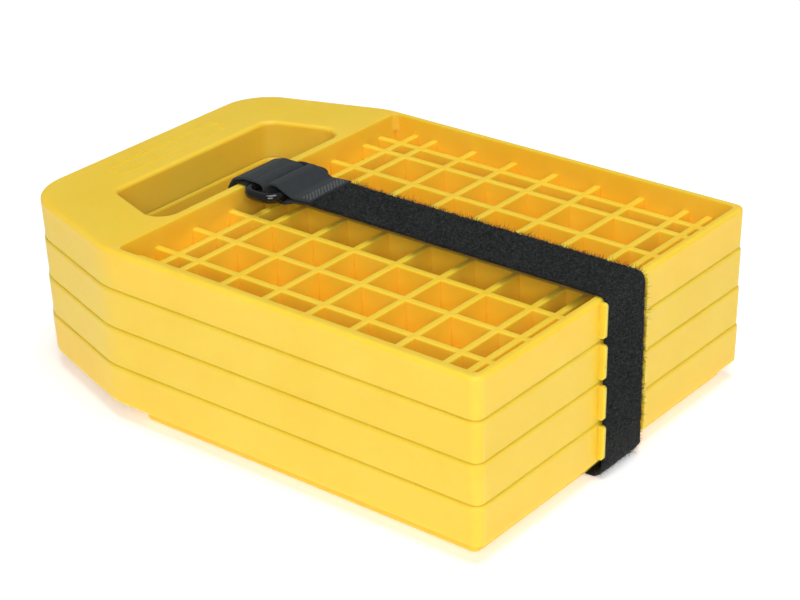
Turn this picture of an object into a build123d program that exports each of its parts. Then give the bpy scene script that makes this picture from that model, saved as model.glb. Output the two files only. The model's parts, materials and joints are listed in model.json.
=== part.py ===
from build123d import *
import math
import os

# Leveling block set: four nested plastic jack pads held together by a one-inch cinch strap.
# Millimetres.  +X runs along the pads to their square end, -X to the handle, +Z is up.
# The origin is the middle of the set's footprint, on the surface it stands on.

# Pad, in plan
LENGTH = 228.6
WIDTH = 165.1
PAD_COUNT = 4
TAPER_LENGTH = 59.1
TAPER_INSET = 19.5
SQUARE_CORNER_R = 4.0
KINK_R = 30.0
HANDLE_CORNER_R = 22.0
WALL = 3.2

# Pad, in height
PITCH = 15.875
FOOT_HEIGHT = 6.3
FOOT_INSET = 5.0
FOOT_LENGTH = 154.0
FOOT_CORNER_R = 3.0
FOOT_EDGE_R = 1.5
WALL_DRAFT_DEG = 1.6
RIM_R = 1.5
SEAM_R = 0.5

# Recess and waffle grid
RECESS_LENGTH = 160.4
RECESS_WIDTH = 158.7
RECESS_DEPTH = 6.9
RECESS_CORNER_R = 2.5
RIB_PITCH = 19.85
RIB = 2.8
RIB_EDGE_R = 0.55
RIB_STEPS = (-3.5, -3, -2, -1, 0, 1, 2, 3, 3.5)
FLOOR = 2.5
CELL_DRAFT_DEG = 1.0

# Hand opening and hollow handle
OPENING_NEAR_X = 168.3
OPENING_FAR_X = 201.5
OPENING_HALF_NEAR = 54.3
OPENING_NEAR_R = 7.5
OPENING_FAR_R = 5.5
OPENING_DRAFT_DEG = 2.5
HANDLE_SKIN = 3.0
HANDLE_RIB = 2.4
HANDLE_RIB_RECESS = 1.0
HANDLE_RIB_STEP = 20.0
LABEL_LENGTH = 60.0
LABEL_WIDTH = 9.0
LABEL_HEIGHT = 0.35
LABEL_LINE = 0.9

# Pair of guides that keep the strap in the middle of each pad's square end
GUIDE_HEIGHT = 2.4
GUIDE = 1.4
GUIDE_CLEARANCE = 0.3
GUIDE_BELOW_RIM = 0.8
GUIDE_LENGTH = 13.4
GUIDE_ROOT = 1.0
GUIDE_CORNER_R = 1.2

# Strap
STRAP_WIDTH = 24.0
STRAP = 1.1
REST_GAP = 0.1
SPLIT_GAP = 0.3
LOWER_BEND_R = 5.75

# Ring, sewn loop and tail
WIRE_R = 2.0
RING_GAP = 0.1
RING_CORNER_R = 5.5
RING_FAR_CORNER_R = 2.6
RING_NEAR_Y = -17.0
RING_FAR_Y = 14.7
FREE_BAR_X = 159.35
SEWN_BAR_X = 145.25
BAR_DROP = 0.15
SEAM_END_X = 130.4
STITCH_ROWS = 6
STITCH = 0.35
STITCH_PITCH = 0.85
RIM_BEND_END_X = 165.6
TAIL_REACH = 36.0
PATCH = 0.6

# Bends of the soft parts: how far from the square end, and how high over the strap's run
LOOP_BENDS = (
    (138.55, -0.85),
    (144.05, -3.0),
    (152.35, -3.0),
    (152.35, 3.55),
    (147.05, 3.55),
    (139.65, 0.4),
)
LOOP_RADII = (4.0, 4.0, 2.9, 2.9, 4.0, 4.0)
FOLD_BENDS = (
    (162.85, 0.0),
    (160.65, -2.8),
    (153.8, -2.8),
    (153.8, 2.05),
    (157.55, 2.5),
)
FOLD_RADII = (2.0, 2.6, 2.3, 2.4, 4.0)
TAIL_BENDS = ((163.65, 2.5), (169.45, 0.75), (171.95, -2.95))
TAIL_RADII = (8.0, 3.5, 3.0)

# Levels that follow from the sizes above
SQUARE_END = (LENGTH - GUIDE_HEIGHT) / 2
HANDLE_END = SQUARE_END - LENGTH
FIRST_FOOT = STRAP
RIM_TOP = FIRST_FOOT + FOOT_HEIGHT + PAD_COUNT * PITCH
RUN_Z = RIM_TOP + REST_GAP + STRAP / 2
WRAP_R = WIRE_R + RING_GAP + STRAP / 2
BAR_Z = RUN_Z - BAR_DROP
RECESS_X = SQUARE_END - WALL - RECESS_LENGTH / 2
END_RUN_X = SQUARE_END + REST_GAP + STRAP / 2
HANDLE_RUN_X = SQUARE_END - OPENING_NEAR_X - REST_GAP - STRAP / 2
TOP_BEND_R = RIM_R + REST_GAP + STRAP / 2
TAIL_LEG_X = TAIL_BENDS[-1][0]
TAIL_END_Z = BAR_Z - TAIL_REACH * math.sin(math.acos((TAIL_LEG_X - FREE_BAR_X) / TAIL_REACH))


def from_end(distance):
    """The X that lies this far from the pads' square end, towards the handle."""
    return SQUARE_END - distance


def pad_middle(index):
    """The height of the middle of a pad's visible wall."""
    return FIRST_FOOT + FOOT_HEIGHT + (index + 0.5) * PITCH


def bends(points):
    """Points of the XZ plane from their distances from the square end and heights over the run."""
    return [(from_end(distance), RUN_Z + rise) for distance, rise in points]


def outline_points():
    """The pad's outline: square at one end, tapered at the handle."""
    kink = HANDLE_END + TAPER_LENGTH
    half = WIDTH / 2
    upper = [(SQUARE_END, half), (kink, half), (HANDLE_END, half - TAPER_INSET)]
    lower = [(x, -y) for x, y in reversed(upper)]
    return upper + lower


def round_outline(sketch):
    """Round the corners of an outline sketch, each kind with its own radius."""
    corners = sketch.vertices()
    fillet(corners.group_by(Axis.X)[0], HANDLE_CORNER_R)
    kink = HANDLE_END + TAPER_LENGTH
    fillet([v for v in sketch.vertices() if abs(v.X - kink) < 0.01], KINK_R)
    fillet(sketch.vertices().group_by(Axis.X)[-1], SQUARE_CORNER_R)


def opening_points():
    """The hand opening's corners, its sides parallel to the pad's tapered sides."""
    run = OPENING_FAR_X - OPENING_NEAR_X
    half_far = OPENING_HALF_NEAR - run * TAPER_INSET / TAPER_LENGTH
    near = from_end(OPENING_NEAR_X)
    far = from_end(OPENING_FAR_X)
    return [
        (near, OPENING_HALF_NEAR),
        (far, half_far),
        (far, -half_far),
        (near, -OPENING_HALF_NEAR),
    ]


def cell_spans(half_recess):
    """The clear spans between neighbouring ribs, and between the last rib and the wall."""
    ribs = [step * RIB_PITCH for step in RIB_STEPS]
    starts = [-half_recess] + [rib + RIB / 2 for rib in ribs]
    ends = [rib - RIB / 2 for rib in ribs] + [half_recess]
    return list(zip(starts, ends))


def cell_rectangles(deep):
    """Every cell as (x, y, length, width): the inner, deep ones or the shallow border ones."""
    along = cell_spans(RECESS_LENGTH / 2)
    across = cell_spans(RECESS_WIDTH / 2)
    cells = []
    for i, (x0, x1) in enumerate(along):
        for j, (y0, y1) in enumerate(across):
            inner = 0 < i < len(along) - 1 and 0 < j < len(across) - 1
            if inner == deep:
                cells.append((RECESS_X + (x0 + x1) / 2, (y0 + y1) / 2, x1 - x0, y1 - y0))
    return cells


def handle_core(height, ribbed=False):
    """The hollow of the handle at this height, with or without its cross ribs."""
    with BuildSketch(Plane.XY.offset(height)) as core:
        with BuildLine():
            Polyline(*outline_points(), close=True)
        make_face()
        round_outline(core)
        offset(amount=-WALL, mode=Mode.REPLACE)
        with Locations((from_end(2 * WALL + RECESS_LENGTH + 1), 0)):
            Rectangle(LENGTH, WIDTH, align=(Align.MAX, Align.CENTER), mode=Mode.INTERSECT)
        with BuildSketch(Plane.XY.offset(height), mode=Mode.SUBTRACT):
            with BuildLine():
                Polyline(*opening_points(), close=True)
            make_face()
            offset(amount=WALL)
        if ribbed:
            for row in (-2, -1, 0, 1, 2):
                with Locations((from_end(OPENING_FAR_X), row * HANDLE_RIB_STEP)):
                    Rectangle(
                        OPENING_FAR_X / 2,
                        HANDLE_RIB,
                        align=(Align.MAX, Align.CENTER),
                        mode=Mode.SUBTRACT,
                    )
            for side in (0.2, 0.6, 1.0):
                rib_x = from_end(OPENING_NEAR_X + side * (OPENING_FAR_X - OPENING_NEAR_X))
                with Locations((rib_x, 0)):
                    Rectangle(HANDLE_RIB, WIDTH, mode=Mode.SUBTRACT)
    return core.sketch


def save(piece, name):
    """Label a finished piece and write it as a node of its own."""
    piece.part.label = name
    export_step(piece.part, f"parts/{name}.step")


os.makedirs("parts", exist_ok=True)

with BuildPart() as pad:
    wall_bottom = FIRST_FOOT + FOOT_HEIGHT
    rim_top = wall_bottom + PITCH
    rib_top = rim_top - RECESS_DEPTH

    # Outer body, drafted inwards towards its lower edge
    with BuildSketch(Plane.XY.offset(rim_top)) as outline:
        with BuildLine():
            Polyline(*outline_points(), close=True)
        make_face()
        round_outline(outline)
    extrude(amount=-PITCH, taper=WALL_DRAFT_DEG)
    fillet(pad.faces().sort_by(Axis.Z)[-1].outer_wire().edges(), RIM_R)
    fillet(pad.faces().sort_by(Axis.Z)[0].outer_wire().edges(), SEAM_R)

    # Foot that nests in the recess of the pad below
    foot_x = SQUARE_END - FOOT_INSET - FOOT_LENGTH / 2
    with BuildSketch(Plane.XY.offset(FIRST_FOOT)) as foot:
        with Locations((foot_x, 0)):
            RectangleRounded(FOOT_LENGTH, WIDTH - 2 * FOOT_INSET, FOOT_CORNER_R)
    extrude(amount=FOOT_HEIGHT + WALL / 2)
    fillet(pad.faces().sort_by(Axis.Z)[0].outer_wire().edges(), FOOT_EDGE_R)

    # Recess inside the rim
    with BuildSketch(Plane.XY.offset(rim_top)) as recess:
        with Locations((RECESS_X, 0)):
            RectangleRounded(RECESS_LENGTH, RECESS_WIDTH, RECESS_CORNER_R)
    extrude(amount=-RECESS_DEPTH, mode=Mode.SUBTRACT)

    # Waffle cells: deep over the foot, shallow beside the wall
    with BuildSketch(Plane.XY.offset(rib_top)) as deep_cells:
        for x, y, length, width in cell_rectangles(deep=True):
            with Locations((x, y)):
                Rectangle(length, width)
    extrude(amount=-(rib_top - FIRST_FOOT - FLOOR), taper=CELL_DRAFT_DEG, mode=Mode.SUBTRACT)
    with BuildSketch(Plane.XY.offset(rib_top)) as border_cells:
        for x, y, length, width in cell_rectangles(deep=False):
            with Locations((x, y)):
                Rectangle(length, width)
    extrude(amount=-(rib_top - wall_bottom - FLOOR), taper=CELL_DRAFT_DEG, mode=Mode.SUBTRACT)

    # Softened rib tops
    rib_edges = pad.edges().filter_by_position(Axis.Z, rib_top - 0.01, rib_top + 0.01)
    half_length = RECESS_LENGTH / 2 - RIB / 2
    half_width = RECESS_WIDTH / 2 - RIB / 2
    fillet(
        [
            e
            for e in rib_edges
            if abs(e.center().X - RECESS_X) < half_length and abs(e.center().Y) < half_width
        ],
        RIB_EDGE_R,
    )

    # Hand opening, with the rounded upper edge that the fingers close over
    with BuildSketch(Plane.XY.offset(rim_top)) as opening:
        with BuildLine():
            Polyline(*opening_points(), close=True)
        make_face()
        fillet(opening.vertices().group_by(Axis.X)[-1], OPENING_NEAR_R)
        fillet(opening.vertices().group_by(Axis.X)[0], OPENING_FAR_R)
    extrude(amount=-PITCH, taper=-OPENING_DRAFT_DEG, mode=Mode.SUBTRACT)
    top_edges = pad.edges().filter_by_position(Axis.Z, rim_top - 0.01, rim_top + 0.01)
    opening_box = (from_end(OPENING_FAR_X) - 1, from_end(OPENING_NEAR_X) + 1)
    fillet(
        [
            e
            for e in top_edges
            if opening_box[0] < e.center().X < opening_box[1]
            and abs(e.center().Y) < OPENING_HALF_NEAR + 1
        ],
        RIM_R,
    )

    # Handle hollowed from below, its cross ribs stopping short of the pad underneath
    extrude(handle_core(wall_bottom), amount=HANDLE_RIB_RECESS, mode=Mode.SUBTRACT)
    extrude(
        handle_core(wall_bottom + HANDLE_RIB_RECESS, ribbed=True),
        amount=PITCH - HANDLE_SKIN - HANDLE_RIB_RECESS,
        mode=Mode.SUBTRACT,
    )

    # Strap guides on the square end, drafted like the wall behind them
    guide_top = rim_top - GUIDE_BELOW_RIM
    guide_foot = guide_top - GUIDE_LENGTH
    guide_draft = GUIDE_LENGTH * math.tan(math.radians(WALL_DRAFT_DEG))
    guide_y = STRAP_WIDTH / 2 + GUIDE_CLEARANCE + GUIDE / 2
    for y in (-guide_y, guide_y):
        with BuildSketch(Plane.XZ.offset(-y)) as guide:
            with BuildLine():
                Polyline(
                    (SQUARE_END - GUIDE_ROOT, guide_foot),
                    (SQUARE_END - GUIDE_ROOT, guide_top),
                    (SQUARE_END + GUIDE_HEIGHT, guide_top),
                    (SQUARE_END + GUIDE_HEIGHT - guide_draft, guide_foot),
                    close=True,
                )
            make_face()
            fillet([v for v in guide.vertices() if v.X > SQUARE_END], GUIDE_CORNER_R)
        extrude(amount=GUIDE / 2, both=True)

    # Plain raised border on the handle
    with BuildSketch(Plane.XY.offset(rim_top)) as label_border:
        with Locations(((HANDLE_END + from_end(OPENING_FAR_X)) / 2, 0)):
            RectangleRounded(LABEL_WIDTH, LABEL_LENGTH, 2 * LABEL_LINE)
            RectangleRounded(
                LABEL_WIDTH - 2 * LABEL_LINE,
                LABEL_LENGTH - 2 * LABEL_LINE,
                LABEL_LINE,
                mode=Mode.SUBTRACT,
            )
    extrude(amount=LABEL_HEIGHT)

for index in range(PAD_COUNT):
    with BuildPart() as stacked_pad:
        add(pad.part.moved(Location((0, 0, index * PITCH))))
    save(stacked_pad, f"pad_{index + 1}")


# The strap's flat runs.  Every profile is drawn in the XZ plane and is one strap wide.

with BuildPart() as strap_bottom_run:
    with BuildSketch(Plane.XZ) as profile:
        with BuildLine():
            FilletPolyline(
                (HANDLE_RUN_X, STRAP / 2 + LOWER_BEND_R + 1),
                (HANDLE_RUN_X, STRAP / 2),
                (END_RUN_X, STRAP / 2),
                (END_RUN_X, STRAP / 2 + LOWER_BEND_R + 1),
                radius=LOWER_BEND_R,
            )
        trace(line_width=STRAP)
    extrude(amount=STRAP_WIDTH / 2, both=True)
save(strap_bottom_run, "strap_bottom_run")

for index in range(PAD_COUNT):
    low = pad_middle(index - 1) if index else STRAP / 2 + LOWER_BEND_R + 1
    high = pad_middle(index)
    for place, run_x in (("end", END_RUN_X), ("handle", HANDLE_RUN_X)):
        with BuildPart() as side_run:
            with Locations((run_x, 0, (low + high) / 2)):
                Box(STRAP, STRAP_WIDTH, high - low - SPLIT_GAP)
        save(side_run, f"strap_{place}_run_{index + 1}")

with BuildPart() as strap_top_run:
    with BuildSketch(Plane.XZ) as profile:
        with BuildLine():
            FilletPolyline(
                (END_RUN_X, pad_middle(PAD_COUNT - 1)),
                (END_RUN_X, RUN_Z),
                (from_end(SEAM_END_X - SPLIT_GAP), RUN_Z),
                radius=TOP_BEND_R,
            )
        trace(line_width=STRAP)
    extrude(amount=STRAP_WIDTH / 2, both=True)
save(strap_top_run, "strap_top_run")

# The strap's end, sewn back on itself round the ring's inner bar
with BuildPart() as strap_sewn_loop:
    with BuildSketch(Plane.XZ) as profile:
        with BuildLine():
            FilletPolyline(
                (from_end(SEAM_END_X), RUN_Z),
                *bends(LOOP_BENDS),
                (from_end(SEAM_END_X), RUN_Z + STRAP + REST_GAP),
                radius=LOOP_RADII,
            )
        trace(line_width=STRAP)
    extrude(amount=STRAP_WIDTH / 2, both=True)
save(strap_sewn_loop, "strap_sewn_loop")

with BuildPart() as strap_stitching:
    seam_top = RUN_Z + 1.5 * STRAP + REST_GAP
    seam_run = LOOP_BENDS[-1][0] - SEAM_END_X
    seam_fall = STRAP + REST_GAP - LOOP_BENDS[-1][1]
    for row in range(STITCH_ROWS):
        back = 0.5 + row * STITCH_PITCH
        height = seam_top - (back - STITCH) * seam_fall / seam_run
        with Locations((from_end(SEAM_END_X + back), 0, height)):
            Box(STITCH, STRAP_WIDTH - 2, STITCH, align=(Align.MIN, Align.CENTER, Align.MIN))
save(strap_stitching, "strap_stitching")

# The strap where it leaves the hand opening over the cross wall
with BuildPart() as strap_rim_bend:
    with BuildSketch(Plane.XZ) as profile:
        with BuildLine():
            FilletPolyline(
                (HANDLE_RUN_X, pad_middle(PAD_COUNT - 1)),
                (HANDLE_RUN_X, RUN_Z),
                (from_end(RIM_BEND_END_X), RUN_Z),
                radius=TOP_BEND_R,
            )
        trace(line_width=STRAP)
    extrude(amount=STRAP_WIDTH / 2, both=True)
save(strap_rim_bend, "strap_rim_bend")

# The strap under and round the ring's free bar
with BuildPart() as strap_ring_fold:
    with BuildSketch(Plane.XZ) as profile:
        with BuildLine():
            FilletPolyline(
                (from_end(RIM_BEND_END_X - SPLIT_GAP), RUN_Z),
                *bends(FOLD_BENDS),
                (from_end(FREE_BAR_X), BAR_Z + WRAP_R),
                radius=FOLD_RADII,
            )
        trace(line_width=STRAP)
    extrude(amount=STRAP_WIDTH / 2, both=True)
save(strap_ring_fold, "strap_ring_fold")

# The free tail, folded back over the rim and down into the hand opening
with BuildPart() as strap_tail:
    with BuildSketch(Plane.XZ) as profile:
        with BuildLine():
            FilletPolyline(
                (from_end(FREE_BAR_X + SPLIT_GAP), BAR_Z + WRAP_R),
                *bends(TAIL_BENDS),
                (from_end(TAIL_LEG_X), TAIL_END_Z),
                radius=TAIL_RADII,
            )
        trace(line_width=STRAP)
    extrude(amount=STRAP_WIDTH / 2, both=True)
save(strap_tail, "strap_tail")

with BuildPart() as hook_patch:
    with Locations((from_end(TAIL_LEG_X) + STRAP / 2, 0, TAIL_END_Z + 1)):
        Box(
            PATCH,
            STRAP_WIDTH - 2,
            RIM_TOP - 5 - TAIL_END_Z,
            align=(Align.MIN, Align.CENTER, Align.MIN),
        )
save(hook_patch, "hook_patch")

# The ring: one loop of wire, reaching further out on its near side
with BuildPart() as ring:
    free_x = from_end(FREE_BAR_X)
    sewn_x = from_end(SEWN_BAR_X)
    near = RING_NEAR_Y + RING_CORNER_R
    far = RING_FAR_Y - RING_FAR_CORNER_R
    with BuildLine(Plane.XY.offset(BAR_Z)) as centreline:
        Line((free_x, far), (free_x, near))
        CenterArc((free_x + RING_CORNER_R, near), RING_CORNER_R, 180, 90)
        Line((free_x + RING_CORNER_R, RING_NEAR_Y), (sewn_x - RING_CORNER_R, RING_NEAR_Y))
        CenterArc((sewn_x - RING_CORNER_R, near), RING_CORNER_R, 270, 90)
        Line((sewn_x, near), (sewn_x, far))
        CenterArc((sewn_x - RING_FAR_CORNER_R, far), RING_FAR_CORNER_R, 0, 90)
        Line((sewn_x - RING_FAR_CORNER_R, RING_FAR_Y), (free_x + RING_FAR_CORNER_R, RING_FAR_Y))
        CenterArc((free_x + RING_FAR_CORNER_R, far), RING_FAR_CORNER_R, 90, 90)
    with BuildSketch(Plane(origin=centreline.line @ 0, z_dir=centreline.line % 0)):
        Circle(WIRE_R)
    sweep(path=centreline.line)
save(ring, "ring")
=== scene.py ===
import json
import math

import bpy
import numpy as np
from mathutils import Matrix, Vector, noise


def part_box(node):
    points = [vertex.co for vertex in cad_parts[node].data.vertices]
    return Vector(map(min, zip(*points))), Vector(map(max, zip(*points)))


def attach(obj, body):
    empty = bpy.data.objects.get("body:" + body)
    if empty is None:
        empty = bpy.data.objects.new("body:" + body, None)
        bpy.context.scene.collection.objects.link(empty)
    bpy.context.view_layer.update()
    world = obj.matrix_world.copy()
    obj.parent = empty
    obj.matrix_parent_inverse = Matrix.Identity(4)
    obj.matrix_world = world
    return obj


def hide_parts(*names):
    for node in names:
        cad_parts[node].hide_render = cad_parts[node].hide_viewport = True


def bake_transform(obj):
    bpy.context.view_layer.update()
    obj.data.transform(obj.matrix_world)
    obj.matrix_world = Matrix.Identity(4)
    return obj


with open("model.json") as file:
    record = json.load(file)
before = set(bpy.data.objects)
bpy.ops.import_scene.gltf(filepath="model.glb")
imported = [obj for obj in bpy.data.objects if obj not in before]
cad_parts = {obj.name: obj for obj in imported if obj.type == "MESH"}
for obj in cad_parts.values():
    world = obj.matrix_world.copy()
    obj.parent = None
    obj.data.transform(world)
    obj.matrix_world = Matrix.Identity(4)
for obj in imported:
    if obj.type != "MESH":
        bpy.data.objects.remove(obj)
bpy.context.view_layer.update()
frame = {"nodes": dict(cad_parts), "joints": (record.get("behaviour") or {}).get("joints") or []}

# Everything below is in metres, in the CAD's frame: +X to the pads' square end, +Z up.

PAD_COUNT = 4
BODIES = ["pad_1_base"] + [f"pad_{level}_level" for level in range(2, PAD_COUNT + 1)]
TOP_BODY = BODIES[-1]

# Places read from the frame
HALF_SPLIT = 0.00015
JOINTS = {joint["name"]: joint for joint in frame["joints"]}
RUN_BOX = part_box("strap_end_run_2")
STRAP = RUN_BOX[1].x - RUN_BOX[0].x
HALF_WIDTH = (RUN_BOX[1].y - RUN_BOX[0].y) / 2
END_X = (RUN_BOX[0].x + RUN_BOX[1].x) / 2
HANDLE_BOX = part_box("strap_handle_run_2")
HANDLE_X = (HANDLE_BOX[0].x + HANDLE_BOX[1].x) / 2
BOTTOM_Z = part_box("strap_bottom_run")[0].z + STRAP / 2
RUN_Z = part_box("strap_top_run")[1].z - STRAP / 2
SPLITS = [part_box(f"strap_end_run_{level}")[1].z + HALF_SPLIT for level in range(1, PAD_COUNT + 1)]
SEWN_BAR = Vector(JOINTS["ring_swing"]["pos_m"])
FREE_BAR = Vector(JOINTS["tail_peel"]["pos_m"])
RING_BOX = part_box("ring")
TAIL_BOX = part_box("strap_tail")
SEAM_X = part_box("strap_sewn_loop")[1].x
RIM_BEND_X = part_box("strap_rim_bend")[1].x
GUIDE_HEIGHT = 0.0024  # the strap guides stand out of the square end by this much
SQUARE_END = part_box("pad_4")[1].x - GUIDE_HEIGHT

# Strap and ring: bends are (distance from the square end, height over the strap's run)
LOOP_BENDS = [
    (0.13855, -0.00085),
    (0.14405, -0.0030),
    (0.15235, -0.0030),
    (0.15235, 0.00355),
    (0.14705, 0.00355),
    (0.13965, 0.0004),
]
LOOP_RADII = [0.004, 0.004, 0.0029, 0.0029, 0.004, 0.004]
FOLD_BENDS = [
    (0.16285, 0.0),
    (0.16065, -0.0028),
    (0.1538, -0.0028),
    (0.1538, 0.00205),
    (0.15755, 0.0025),
]
FOLD_RADII = [0.002, 0.0026, 0.0023, 0.0024, 0.004]
TAIL_BENDS = [(0.16365, 0.0025), (0.16945, 0.00075), (0.17195, -0.00295)]
TAIL_RADII = [0.008, 0.0035, 0.003]
LOWER_BEND_R = 0.00575
TOP_BEND_R = 0.00215
RING_CORNER_R = 0.0055
RING_FAR_CORNER_R = 0.0026
RING_RADII = [RING_CORNER_R, RING_CORNER_R, RING_FAR_CORNER_R, RING_FAR_CORNER_R]
RING_SIDES = 28

# Strips of webbing: length of a step along them, steps across, rolled edge, slack waves
ROUTE_STEP = 0.0006
ACROSS = 40
EDGE_ROUND = 0.0005
EDGE_THINNING = 0.92
WAVE_HEIGHT = 0.00012
WAVE_SCALE = 90

# Brushed pile: matted base on the strip, and fibres per square millimetre that stand in it
PILE_BASE = 0.00030
CLUMP_SCALE = 900
PILE_DENSITY = 7.0
HIDDEN_DENSITY = PILE_DENSITY / 5
UNDERSIDE_DENSITY = HIDDEN_DENSITY * 1.5
FIBRE_LENGTH = (0.0009, 0.0019)
FIBRE_RADIUS = 0.000060
FIBRE_RINGS = 4
FIBRE_SIDES = 3
FIBRE_TAPER = 0.55
FIBRE_ROOT = 0.42  # share of the strap's thickness
FIBRE_REACH = 0.985  # share of the strap's half width
EDGE_SPLAY = 0.7

# Seam: rows of stitches across the strap's sewn end
SEAM_GAP = 0.0001
STITCH_ROWS = 6
STITCHES_PER_ROW = 13
ROW_STEP = 0.00085
FIRST_ROW = 0.0007
STITCH_MARGIN = 0.0008
LAST_MARGIN = 0.0006
STITCH_PITCH = (2 * HALF_WIDTH - 2 * STITCH_MARGIN) / STITCHES_PER_ROW
STITCH_LENGTH = STITCH_PITCH * 0.80
THREAD_RADIUS = 0.00021
THREAD_RISE = 0.00008
THREAD_ARCH = 0.00014
THREAD_SEGMENTS = 6
THREAD_SIDES = 8

# Camera
CAMERA_AT = Vector((0.46575, -0.54802, 0.39192))
CAMERA_TARGET = Vector((0.01033, 0.00527, 0.03341))
CAMERA_ROLL = math.radians(-1.652)
CAMERA_LENS = 95.545
SENSOR_WIDTH = 36.0
CLIP_START = 0.01

# Studio: a white board under soft area lights
FLOOR_REACH = 6
FLOOR_GLOW = 0.33
WORLD_STRENGTH = 0.24
LIGHT_TARGET = Vector((0, 0, 0.03))
LIGHT_SIZE = 0.8
KEY_AT, KEY_POWER = (0.95, -1.15, 0.88), 13.5
TOP_AT, TOP_POWER = (0.2, -0.1, 1.5), 13

# Weave: threads along and across the strap, in UV units of a millimetre; a wave texture at a scale
# of one repeats every WAVE_PERIOD
WEAVE_PITCH = (0.55, 0.42)
WAVE_PERIOD = 2 * math.pi / 20

# Colours
PLASTIC_TONES = ((0.945, 0.590, 0.036), (0.958, 0.610, 0.045), (0.968, 0.630, 0.056))
# Paler tone for sharp edges: a painted edge highlight, partly edge wear
PLASTIC_EDGE_HIGHLIGHT_AND_WEAR = (0.96, 0.70, 0.15)
WEAVE_DARK, WEAVE_LIGHT = (0.012, 0.015, 0.017), (0.034, 0.041, 0.045)
WEAVE_BLOTCH = (0.040, 0.048, 0.053)
# Pile tones: PILE_SHADOW is painted shade between clumps; the palest pile tones are painted
# highlights on the pile
PILE_SHADOW, PILE_MIDDLE = (0.003, 0.004, 0.004), (0.012, 0.015, 0.015)
PILE_BASE_HIGHLIGHT, PILE_FIBRE_HIGHLIGHT = (0.024, 0.027, 0.027), (0.150, 0.170, 0.165)
HOOK_LIGHT, HOOK_DARK = (0.06, 0.06, 0.06), (0.012, 0.012, 0.012)
THREAD_DARK, THREAD_LIGHT = (0.055, 0.062, 0.066), (0.145, 0.155, 0.160)
WIRE_TONES = ((0.006, 0.006, 0.007), (0.020, 0.021, 0.023))
FLOOR_TONES = ((0.90, 0.90, 0.90), (0.93, 0.93, 0.93))


# ---------------------------------------------------------------- node helpers

def new_material(name):
    """A material with an empty Principled shader, its nodes and its links."""
    material = bpy.data.materials.new(name)
    material.use_nodes = True
    nodes = material.node_tree.nodes
    return material, nodes, material.node_tree.links, nodes["Principled BSDF"]


def position(nodes):
    """Object coordinates, in metres."""
    return nodes.new("ShaderNodeTexCoord").outputs["Object"]


def noise_texture(nodes, links, vector, scale, detail, roughness):
    """Fractal noise: scale is in cells per metre."""
    texture = nodes.new("ShaderNodeTexNoise")
    texture.inputs["Scale"].default_value = scale
    texture.inputs["Detail"].default_value = detail
    texture.inputs["Roughness"].default_value = roughness
    links.new(vector, texture.inputs["Vector"])
    return texture.outputs["Fac"]


def ramp(nodes, links, value, stops):
    """A colour ramp: stops are (place, colour)."""
    stops = list(stops)
    node = nodes.new("ShaderNodeValToRGB")
    elements = node.color_ramp.elements
    while len(elements) < len(stops):
        elements.new(0.5)
    for element, (place, colour) in zip(elements, stops):
        element.position = place
        element.color = (*colour, 1)
    links.new(value, node.inputs["Fac"])
    return node.outputs["Color"]


def remap(nodes, links, value, low, high):
    """A value from 0 to 1 stretched to low to high."""
    node = nodes.new("ShaderNodeMapRange")
    node.inputs["To Min"].default_value = low
    node.inputs["To Max"].default_value = high
    links.new(value, node.inputs["Value"])
    return node.outputs["Result"]


def product(nodes, links, a, b):
    """Two values multiplied."""
    node = nodes.new("ShaderNodeMath")
    node.operation = "MULTIPLY"
    links.new(a, node.inputs[0])
    links.new(b, node.inputs[1])
    return node.outputs["Value"]


def mix_colour(nodes, links, factor, a, b):
    """Colour a, going over to colour b as the factor rises; each is a tuple or an output."""
    node = nodes.new("ShaderNodeMix")
    node.data_type = "RGBA"
    factor_socket, (a_socket, b_socket) = node.inputs[0], node.inputs[6:8]
    links.new(factor, factor_socket)
    for socket, value in ((a_socket, a), (b_socket, b)):
        if isinstance(value, tuple):
            socket.default_value = (*value, 1)
        else:
            links.new(value, socket)
    return node.outputs[2]


def bump(nodes, links, shader, heights):
    """Chain bumps into the shader: heights are (value, strength, distance)."""
    normal = None
    for value, strength, distance in heights:
        node = nodes.new("ShaderNodeBump")
        node.inputs["Strength"].default_value = strength
        node.inputs["Distance"].default_value = distance
        links.new(value, node.inputs["Height"])
        if normal is not None:
            links.new(normal, node.inputs["Normal"])
        normal = node.outputs["Normal"]
    links.new(normal, shader.inputs["Normal"])


# ------------------------------------------------------------------- materials

def yellow_plastic():
    """Satin moulded plastic: faint flow mottling, fine grain, and sharp edges painted paler in
    patches, partly edge wear and partly a painted edge highlight.
    """
    material, nodes, links, shader = new_material("yellow_plastic_moulded")
    place = position(nodes)
    mottle = noise_texture(nodes, links, place, 38, 4, 0.55)
    colour = ramp(nodes, links, mottle, zip((0.30, 0.50, 0.72), PLASTIC_TONES))
    geometry = nodes.new("ShaderNodeNewGeometry")
    # Pointy edges go paler in noisy patches: a painted edge highlight, partly edge wear
    edge = ramp(
        nodes, links, geometry.outputs["Pointiness"], [(0.52, (0, 0, 0)), (0.60, (1, 1, 1))]
    )
    edge_patch = noise_texture(nodes, links, place, 420, 5, 0.7)
    edge_highlight_and_wear = product(nodes, links, edge, remap(nodes, links, edge_patch, 0.0, 0.55))
    colour = mix_colour(nodes, links, edge_highlight_and_wear, colour, PLASTIC_EDGE_HIGHLIGHT_AND_WEAR)
    links.new(colour, shader.inputs["Base Color"])
    grain = noise_texture(nodes, links, place, 2600, 2, 0.6)
    ripple = noise_texture(nodes, links, place, 160, 3, 0.5)
    smear = noise_texture(nodes, links, place, 70, 5, 0.6)
    links.new(remap(nodes, links, smear, 0.34, 0.56), shader.inputs["Roughness"])
    shader.inputs["Subsurface Weight"].default_value = 0.60
    shader.inputs["Subsurface Radius"].default_value = (0.0060, 0.0036, 0.0008)
    shader.inputs["Subsurface Scale"].default_value = 1.0
    shader.inputs["Specular IOR Level"].default_value = 0.45
    bump(nodes, links, shader, [(ripple, 0.10, 0.0004), (grain, 0.16, 0.00012)])
    return material


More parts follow.
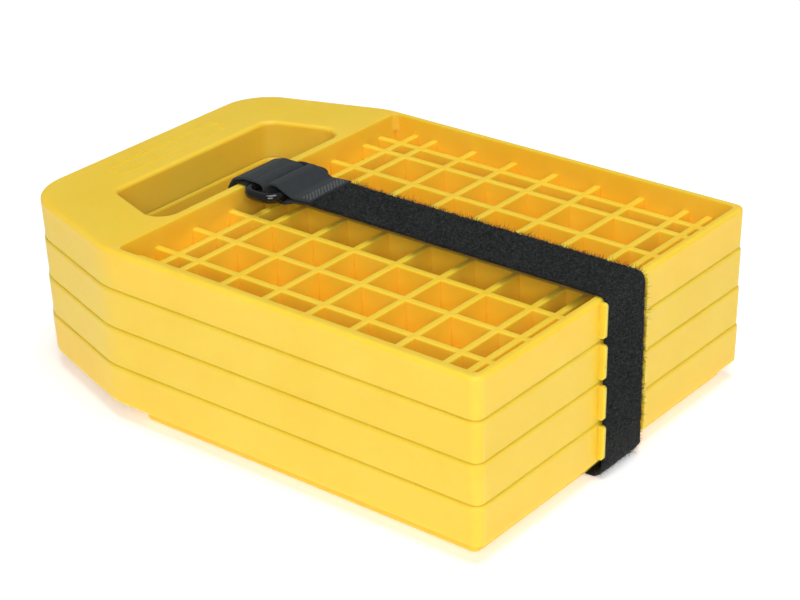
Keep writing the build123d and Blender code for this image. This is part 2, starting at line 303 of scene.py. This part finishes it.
def woven_black():
    """The strap's smooth side: fine black weave, ribs across the strap and a soft sheen."""
    material, nodes, links, shader = new_material("woven_strap")
    uv = nodes.new("ShaderNodeUVMap")
    uv.uv_map = "strap"
    weave = []
    for axis, pitch in zip("XY", WEAVE_PITCH):
        wave = nodes.new("ShaderNodeTexWave")
        wave.bands_direction = axis
        wave.inputs["Scale"].default_value = WAVE_PERIOD / pitch
        wave.inputs["Distortion"].default_value = 0.5
        links.new(uv.outputs["UV"], wave.inputs["Vector"])
        weave.append(wave.outputs["Fac"])
    cloth = product(nodes, links, weave[0], weave[1])
    place = position(nodes)
    blotch = noise_texture(nodes, links, place, 260, 4, 0.6)
    lint = noise_texture(nodes, links, place, 3000, 2, 0.5)
    dark = mix_colour(nodes, links, cloth, WEAVE_DARK, WEAVE_LIGHT)
    colour = mix_colour(nodes, links, remap(nodes, links, blotch, 0.0, 0.5), dark, WEAVE_BLOTCH)
    links.new(colour, shader.inputs["Base Color"])
    links.new(remap(nodes, links, lint, 0.62, 0.88), shader.inputs["Roughness"])
    shader.inputs["Sheen Weight"].default_value = 0.10
    shader.inputs["Sheen Roughness"].default_value = 0.45
    shader.inputs["Specular IOR Level"].default_value = 0.25
    bump(nodes, links, shader, [(cloth, 0.5, 0.0002), (lint, 0.25, 0.0001)])
    return material


def pile_black(name, painted_highlight):
    """Brushed loop pile: near-black matted fibres, with painted shade in the darkest patches and
    painted highlights on the palest specks.
    """
    material, nodes, links, shader = new_material(name)
    place = position(nodes)
    clump = noise_texture(nodes, links, place, 900, 4, 0.7)
    speck = noise_texture(nodes, links, place, 3600, 2, 0.6)
    mixed = product(nodes, links, clump, speck)
    # Clump and speck noise paints shade (darkest stop) and highlights (palest stop) onto the pile
    colour = ramp(nodes, links, mixed, [(0.20, PILE_SHADOW), (0.26, PILE_MIDDLE), (0.33, painted_highlight)])
    links.new(colour, shader.inputs["Base Color"])
    links.new(remap(nodes, links, speck, 0.55, 0.9), shader.inputs["Roughness"])
    shader.inputs["Sheen Weight"].default_value = 0.04
    shader.inputs["Specular IOR Level"].default_value = 0.15
    bump(nodes, links, shader, [(clump, 0.8, 0.0004), (speck, 0.7, 0.0002)])
    return material


def hook_tape():
    """Rows of tiny moulded hooks on a black backing."""
    material, nodes, links, shader = new_material("hook_rows")
    place = position(nodes)
    dots = nodes.new("ShaderNodeTexVoronoi")
    dots.inputs["Scale"].default_value = 1100
    dots.inputs["Randomness"].default_value = 0.15
    links.new(place, dots.inputs["Vector"])
    distance = dots.outputs["Distance"]
    colour = ramp(nodes, links, distance, [(0.1, HOOK_LIGHT), (0.5, HOOK_DARK)])
    links.new(colour, shader.inputs["Base Color"])
    links.new(remap(nodes, links, distance, 0.3, 0.7), shader.inputs["Roughness"])
    bump(nodes, links, shader, [(distance, 1.0, -0.0004)])
    return material


def thread_grey():
    """Twisted sewing thread."""
    material, nodes, links, shader = new_material("sewing_thread")
    place = position(nodes)
    twist = nodes.new("ShaderNodeTexWave")
    twist.bands_direction = "DIAGONAL"
    twist.inputs["Scale"].default_value = 900
    twist.inputs["Distortion"].default_value = 1.0
    links.new(place, twist.inputs["Vector"])
    strand = twist.outputs["Fac"]
    colour = mix_colour(nodes, links, strand, THREAD_DARK, THREAD_LIGHT)
    links.new(colour, shader.inputs["Base Color"])
    links.new(remap(nodes, links, strand, 0.45, 0.65), shader.inputs["Roughness"])
    bump(nodes, links, shader, [(strand, 0.5, 0.0001)])
    return material


def gloss_black():
    """Thick gloss coating on wire, with a faint orange peel and fine rubs."""
    material, nodes, links, shader = new_material("gloss_coating")
    place = position(nodes)
    peel = noise_texture(nodes, links, place, 700, 2, 0.5)
    rub = noise_texture(nodes, links, place, 2400, 5, 0.7)
    colour = ramp(nodes, links, rub, zip((0.45, 0.75), WIRE_TONES))
    links.new(colour, shader.inputs["Base Color"])
    links.new(remap(nodes, links, rub, 0.03, 0.12), shader.inputs["Roughness"])
    shader.inputs["Specular IOR Level"].default_value = 0.20
    shader.inputs["Coat Weight"].default_value = 0.5
    shader.inputs["Coat Roughness"].default_value = 0.05
    bump(nodes, links, shader, [(peel, 0.12, 0.0003)])
    return material


def pale_floor():
    """Plain matt white board."""
    material, nodes, links, shader = new_material("studio_floor")
    place = position(nodes)
    fleck = noise_texture(nodes, links, place, 30, 2, 0.5)
    colour = ramp(nodes, links, fleck, zip((0.3, 0.7), FLOOR_TONES))
    links.new(colour, shader.inputs["Base Color"])
    shader.inputs["Roughness"].default_value = 0.9
    shader.inputs["Specular IOR Level"].default_value = 0.1
    shader.inputs["Emission Color"].default_value = (1, 1, 1, 1)
    shader.inputs["Emission Strength"].default_value = FLOOR_GLOW
    return material


# --------------------------------------------------------------- strap shaping

def bent_route(corners, radii):
    """Points every ROUTE_STEP along straight runs in XZ joined by arcs of these radii."""
    corners = [Vector(corner) for corner in corners]
    bend_end = corners[0]
    points = []
    for before, corner, after, radius in zip(corners, corners[1:], corners[2:], radii):
        arrive = (corner - before).normalized()
        leave = (after - corner).normalized()
        turn = math.atan2(arrive.x * leave.y - arrive.y * leave.x, arrive.dot(leave))
        reach = radius * math.tan(abs(turn) / 2)
        start = corner - arrive * reach
        side = math.copysign(1, turn)
        centre = start + Vector((-arrive.y, arrive.x)) * radius * side
        points += straight(bend_end, start)
        steps = max(3, math.ceil(abs(turn) * radius / ROUTE_STEP))
        spoke = start - centre
        for step in range(steps):
            cosine, sine = math.cos(turn * step / steps), math.sin(turn * step / steps)
            turned = (spoke.x * cosine - spoke.y * sine, spoke.x * sine + spoke.y * cosine)
            points.append(centre + Vector(turned))
        bend_end = corner + leave * reach
    return points + straight(bend_end, corners[-1]) + [corners[-1]]


def bends(points):
    """Corners in XZ from distances from the square end and heights over the strap's run."""
    return [(SQUARE_END - distance, RUN_Z + rise) for distance, rise in points]


def straight(a, b):
    """Points from a up to, but not including, b."""
    steps = max(1, math.ceil((b - a).length / ROUTE_STEP))
    return [a.lerp(b, step / steps) for step in range(steps)]


def frames(points):
    """For each point of a route: its place, its normal (to the left) and the length so far."""
    places = np.array([(p.x, p.y) for p in points])
    tangents = np.gradient(places, axis=0)
    tangents /= np.linalg.norm(tangents, axis=1)[:, None]
    normals = np.stack([-tangents[:, 1], tangents[:, 0]], axis=1)
    gaps = np.linalg.norm(np.diff(places, axis=0), axis=1)
    return places, normals, np.concatenate([[0], np.cumsum(gaps)])


def mesh_object(name, vertices, faces, material, uvs=None):
    """A smooth-shaded mesh in the scene, with its material and, for webbing, its UVs."""
    mesh = bpy.data.meshes.new(name)
    mesh.from_pydata([tuple(v) for v in vertices], [], faces)
    mesh.update()
    if uvs is not None:
        layer = mesh.uv_layers.new(name="strap")
        for loop in mesh.loops:
            layer.data[loop.index].uv = uvs[loop.vertex_index]
    mesh.polygons.foreach_set("use_smooth", [True] * len(mesh.polygons))
    piece = bpy.data.objects.new(name, mesh)
    bpy.context.scene.collection.objects.link(piece)
    piece.data.materials.append(material)
    return piece


def ribbon(name, points, side, material, piled):
    """A closed strip of strap along a route; side says which way its outer face looks."""
    places, normals, lengths = frames(points)
    across = np.linspace(-HALF_WIDTH, HALF_WIDTH, ACROSS + 1)
    overhang = np.clip((np.abs(across) - (HALF_WIDTH - EDGE_ROUND)) / EDGE_ROUND, 0, 1)
    edge = np.sqrt(1 - EDGE_THINNING * overhang**2)
    vertices, uvs = [], []
    for layer in (1, -1):
        for (x, z), normal, length in zip(places, normals, lengths):
            for y, share in zip(across, edge):
                lift = layer * share * STRAP / 2
                if layer == 1 and piled:
                    clump = noise.fractal(Vector((x, y, z)) * CLUMP_SCALE, 0.9, 2.0, 3)
                    lift += share * PILE_BASE * (0.8 + clump)
                wave = WAVE_HEIGHT * noise.noise(Vector((x, y * 0.4, z)) * WAVE_SCALE)
                offset = side * (lift + wave)
                vertices.append((x + normal[0] * offset, y, max(0, z + normal[1] * offset)))
                uvs.append((length * 1000, y * 1000))
    row = ACROSS + 1
    count = len(places) * row
    faces = []
    flip = side > 0
    for i in range(len(places) - 1):
        for j in range(ACROSS):
            a = i * row + j
            quad = (a, a + 1, a + row + 1, a + row)
            under = tuple(v + count for v in reversed(quad))
            faces += [quad[::-1], under[::-1]] if flip else [quad, under]
        for j in (0, ACROSS):
            a = i * row + j
            quad = (a, a + row, a + row + count, a + count)
            faces.append(quad if (j == 0) != flip else quad[::-1])
    for i in (0, len(places) - 1):
        for j in range(ACROSS):
            a = i * row + j
            quad = (a, a + count, a + count + 1, a + 1)
            faces.append(quad if (i == 0) != flip else quad[::-1])
    piece = mesh_object(name, vertices, faces, material, uvs)
    return piece


def tube_quads(rings, sides):
    """Side faces of a tube whose corners are numbered ring by ring."""
    quads = []
    for ring in range(rings - 1):
        for side in range(sides):
            a = ring * sides + side
            b = ring * sides + (side + 1) % sides
            quads.append((a, b, b + sides, a + sides))
    return quads


def unit(vectors):
    """Vectors along the last axis, scaled to a length of one."""
    return vectors / (np.linalg.norm(vectors, axis=-1)[..., None] + 1e-12)


def fibre_spines(points, side, total, draw):
    """Centrelines of curled fibres rooted all over a strip's outer face: (total, rings, 3)."""
    places, normals, lengths = frames(points)
    along = draw.uniform(0, lengths[-1], total)
    across = draw.uniform(-HALF_WIDTH * FIBRE_REACH, HALF_WIDTH * FIBRE_REACH, total)
    base = np.stack([np.interp(along, lengths, places[:, k]) for k in (0, 1)], axis=1)
    out = np.stack([np.interp(along, lengths, normals[:, k]) for k in (0, 1)], axis=1) * side
    out /= np.linalg.norm(out, axis=1)[:, None]
    up = np.stack([out[:, 0], np.zeros(total), out[:, 1]], axis=1)
    root = np.stack([base[:, 0], across, base[:, 1]], axis=1) + up * STRAP * FIBRE_ROOT
    lean = np.clip(draw.normal(0, 0.5, (total, 3)), -0.9, 0.9)
    lean[:, 1] += EDGE_SPLAY * (across / HALF_WIDTH) ** 5
    curl = np.clip(draw.normal(0, 0.6, (total, 3)), -1.0, 1.0)
    length = draw.uniform(*FIBRE_LENGTH, total)
    spine = []
    for t in np.linspace(0, 1, FIBRE_RINGS):
        rise = up * (t - 0.45 * t * t)
        spine.append(root + (rise + lean * t * 0.6 + curl * t * t * 0.6) * length[:, None])
    spine = np.stack(spine, axis=1)
    spine[..., 2] = np.maximum(spine[..., 2], FIBRE_RADIUS)
    return spine


def pile(name, points, side, density, seed, material):
    """Curled fibres on the outer face of a strip, density of them per square millimetre."""
    lengths = frames(points)[2]
    total = int(lengths[-1] * 2 * HALF_WIDTH * 1e6 * density)
    draw = np.random.default_rng(seed)
    spine = fibre_spines(points, side, total, draw)
    tangent = unit(np.gradient(spine, axis=1))
    sideways = unit(np.cross(tangent, draw.normal(0, 1, (total, 1, 3))))
    other = np.cross(tangent, sideways)
    taper = (1 - FIBRE_TAPER * np.linspace(0, 1, FIBRE_RINGS))[None, :, None] * FIBRE_RADIUS
    corners = []
    for corner in range(FIBRE_SIDES):
        angle = corner * 2 * math.pi / FIBRE_SIDES
        corners.append(spine + (sideways * math.cos(angle) + other * math.sin(angle)) * taper)
    vertices = np.stack(corners, axis=2).reshape(-1, 3)
    starts = np.arange(total) * FIBRE_RINGS * FIBRE_SIDES
    faces = []
    for quad in tube_quads(FIBRE_RINGS, FIBRE_SIDES):
        faces.append(starts[:, None] + quad)
    quads = np.stack(faces, axis=1).reshape(-1, 4)
    last = (FIBRE_RINGS - 1) * FIBRE_SIDES
    root_caps = starts[:, None] + np.arange(FIBRE_SIDES)[::-1]
    tip_caps = starts[:, None] + last + np.arange(FIBRE_SIDES)
    every = quads.tolist() + root_caps.tolist() + tip_caps.tolist()
    piece = mesh_object(name, vertices.tolist(), every, material)
    return piece


# ------------------------------------------------------------------ the pieces

def dress_pads(material):
    """The pads keep their CAD meshes and get the plastic."""
    for level in range(1, PAD_COUNT + 1):
        node = frame["nodes"][f"pad_{level}"]
        node.data.materials.clear()
        node.data.materials.append(material)


def build_strap(woven, base_pile, fibre_pile):
    """The strap, split where it crosses from one body to the next."""
    route = bent_route(
        [(HANDLE_X, SPLITS[0]), (HANDLE_X, BOTTOM_Z), (END_X, BOTTOM_Z), (END_X, SPLITS[0])],
        [LOWER_BEND_R, LOWER_BEND_R],
    )
    base = ribbon("strap_base_run", route, -1, base_pile, True)
    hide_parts("strap_bottom_run", "strap_end_run_1", "strap_handle_run_1")
    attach(base, "pad_1_base")
    fuzz = pile("pile_base_run", route, -1, UNDERSIDE_DENSITY, 11, fibre_pile)
    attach(fuzz, "pad_1_base")

    for level in range(2, PAD_COUNT + 1):
        low, high = SPLITS[level - 2], SPLITS[level - 1]
        for place, x, side in (("end", END_X, -1), ("handle", HANDLE_X, 1)):
            route = straight(Vector((x, low)), Vector((x, high))) + [Vector((x, high))]
            strip = ribbon(f"strap_{place}_strip_{level}", route, side, base_pile, True)
            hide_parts(f"strap_{place}_run_{level}")
            density = PILE_DENSITY if place == "end" else HIDDEN_DENSITY
            seed = 20 + 2 * level + (place == "end")
            fuzz = pile(f"pile_{place}_strip_{level}", route, side, density, seed, fibre_pile)
            for piece in (strip, fuzz):
                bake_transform(piece)

    route = bent_route([(END_X, SPLITS[-1]), (END_X, RUN_Z), (SEAM_X, RUN_Z)], [TOP_BEND_R])
    top = ribbon("strap_top_strip", route, -1, base_pile, True)
    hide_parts("strap_top_run")
    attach(top, TOP_BODY)
    fuzz = pile("pile_top_strip", route, -1, PILE_DENSITY, 31, fibre_pile)
    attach(fuzz, TOP_BODY)

    sewn_z = RUN_Z + STRAP + SEAM_GAP
    route = bent_route([(SEAM_X, RUN_Z)] + bends(LOOP_BENDS) + [(SEAM_X, sewn_z)], LOOP_RADII)
    loop = ribbon("strap_ring_loop", route, 1, woven, False)
    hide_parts("strap_sewn_loop")
    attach(loop, TOP_BODY)

    route = bent_route(
        [(HANDLE_X, SPLITS[-1]), (HANDLE_X, RUN_Z), (RIM_BEND_X, RUN_Z)], [TOP_BEND_R]
    )
    rim = ribbon("strap_rim_strip", route, 1, base_pile, True)
    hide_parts("strap_rim_bend")
    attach(rim, TOP_BODY)

    crest_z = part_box("strap_ring_fold")[1].z - STRAP / 2
    corners = bends(FOLD_BENDS)
    low_z = corners[1][1]
    route = bent_route(
        [(RIM_BEND_X, RUN_Z)] + corners[:2] + [(FREE_BAR.x, low_z)], FOLD_RADII[:2]
    )
    under = ribbon("strap_under_bar", route, 1, woven, False)
    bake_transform(under)
    route = bent_route(
        [(FREE_BAR.x, low_z)] + corners[2:] + [(FREE_BAR.x, crest_z)], FOLD_RADII[2:]
    )
    fold = ribbon("strap_bar_fold", route, -1, woven, False)
    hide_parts("strap_ring_fold")
    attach(fold, "ring_link")

    leg_x = SQUARE_END - TAIL_BENDS[-1][0]
    route = bent_route(
        [(FREE_BAR.x, crest_z)] + bends(TAIL_BENDS) + [(leg_x, TAIL_BOX[0].z)], TAIL_RADII
    )
    tail = ribbon("strap_tail_flap", route, -1, woven, False)
    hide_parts("strap_tail")
    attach(tail, "tail_flap")


def stitch(x, y, surface):
    """One short arched thread across the strap, from (x, y) on the seam's surface."""
    vertices = []
    for segment in range(THREAD_SEGMENTS + 1):
        t = segment / THREAD_SEGMENTS
        arch = math.sin(math.pi * t)
        thick = THREAD_RADIUS * (0.45 + 0.55 * arch**0.5)
        height = surface + THREAD_RISE + THREAD_ARCH * arch
        for side in range(THREAD_SIDES):
            angle = 2 * math.pi * side / THREAD_SIDES
            across, up = thick * math.cos(angle) * 1.15, thick * math.sin(angle) * 0.8
            vertices.append((x + across, y + t * STITCH_LENGTH, height + up))
    return vertices


def build_stitches(material):
    """Rows of stitches across the strap, every other row shifted by half a stitch."""
    last_x, last_rise = bends(LOOP_BENDS)[-1][0], LOOP_BENDS[-1][1]
    seam_rise = STRAP + SEAM_GAP
    slope = (seam_rise - last_rise) / (SEAM_X - last_x)
    last = THREAD_SEGMENTS * THREAD_SIDES
    vertices, faces = [], []
    for row in range(STITCH_ROWS):
        back = FIRST_ROW + row * ROW_STEP
        surface = RUN_Z + seam_rise + STRAP / 2 - back * slope
        shift = 0.5 * STITCH_PITCH * (row % 2)
        for column in range(STITCHES_PER_ROW):
            y = -HALF_WIDTH + STITCH_MARGIN + column * STITCH_PITCH + shift
            if y + STITCH_LENGTH > HALF_WIDTH - LAST_MARGIN:
                continue
            start = len(vertices)
            vertices += stitch(SEAM_X - back, y, surface)
            for quad in tube_quads(THREAD_SEGMENTS + 1, THREAD_SIDES):
                faces.append(tuple(start + corner for corner in quad))
            faces.append(tuple(start + side for side in reversed(range(THREAD_SIDES))))
            faces.append(tuple(start + last + side for side in range(THREAD_SIDES)))
    piece = mesh_object("seam_stitches", vertices, faces, material)
    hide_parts("strap_stitching")
    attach(piece, "pad_4_level")


def build_ring(material):
    """The ring: one loop of wire with straight bars and rounded corners."""
    wire_r = FREE_BAR.x - RING_BOX[0].x
    near, far = RING_BOX[0].y + wire_r, RING_BOX[1].y - wire_r
    corners = [
        (FREE_BAR.x, 0),
        (FREE_BAR.x, near),
        (SEWN_BAR.x, near),
        (SEWN_BAR.x, far),
        (FREE_BAR.x, far),
        (FREE_BAR.x, 0),
    ]
    line = [Vector((p.x, p.y, SEWN_BAR.z)) for p in bent_route(corners, RING_RADII)[:-1]]
    vertices = []
    for place, point in enumerate(line):
        tangent = (line[(place + 1) % len(line)] - line[place - 1]).normalized()
        outward = tangent.cross(Vector((0, 0, 1)))
        for side in range(RING_SIDES):
            angle = 2 * math.pi * side / RING_SIDES
            spoke = outward * math.cos(angle) + Vector((0, 0, math.sin(angle)))
            vertices.append(point + spoke * wire_r)
    faces = []
    for quad in tube_quads(len(line) + 1, RING_SIDES):
        faces.append(tuple(corner % len(vertices) for corner in quad))
    piece = mesh_object("ring_wire", vertices, faces, material)
    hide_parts("ring")
    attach(piece, "ring_link")


def build_hooks(material):
    """The hook tape keeps its CAD mesh."""
    node = frame["nodes"]["hook_patch"]
    node.data.materials.clear()
    node.data.materials.append(material)


# ------------------------------------------------------------- camera and light

def build_camera():
    """The scene's camera, looking down on the square end and one long side."""
    data = bpy.data.cameras.new("camera")
    data.lens = CAMERA_LENS
    data.sensor_width = SENSOR_WIDTH
    data.clip_start = CLIP_START
    camera = bpy.data.objects.new("camera", data)
    bpy.context.scene.collection.objects.link(camera)
    aim = (CAMERA_TARGET - CAMERA_AT).to_track_quat("-Z", "Y").to_matrix()
    camera.matrix_world = Matrix.Translation(CAMERA_AT) @ (
        aim @ Matrix.Rotation(CAMERA_ROLL, 3, "Z")
    ).to_4x4()
    bpy.context.scene.camera = camera


def add_light(name, at, power):
    """A square area light aimed at the stack."""
    data = bpy.data.lights.new(name, "AREA")
    data.size = LIGHT_SIZE
    data.energy = power
    light = bpy.data.objects.new(name, data)
    light.location = at
    light.rotation_euler = (LIGHT_TARGET - Vector(at)).to_track_quat("-Z", "Y").to_euler()
    bpy.context.scene.collection.objects.link(light)


def build_studio(material):
    """The floor, the even light of the room and two soft lights."""
    reach = FLOOR_REACH
    corners = [(-reach, -reach, 0), (reach, -reach, 0), (reach, reach, 0), (-reach, reach, 0)]
    floor = mesh_object("floor", corners, [(0, 1, 2, 3)], material)
    world = bpy.data.worlds.new("world")
    world.use_nodes = True
    background = world.node_tree.nodes["Background"]
    background.inputs["Color"].default_value = (1, 1, 1, 1)
    background.inputs["Strength"].default_value = WORLD_STRENGTH
    bpy.context.scene.world = world
    add_light("key", KEY_AT, KEY_POWER)
    add_light("top", TOP_AT, TOP_POWER)
    bpy.context.scene.view_settings.view_transform = "Standard"


build_camera()
build_studio(pale_floor())
dress_pads(yellow_plastic())
base_pile = pile_black("pile_base", PILE_BASE_HIGHLIGHT)
fibre_pile = pile_black("pile_fibres", PILE_FIBRE_HIGHLIGHT)
build_strap(woven_black(), base_pile, fibre_pile)
build_stitches(thread_grey())
build_ring(gloss_black())
build_hooks(hook_tape())
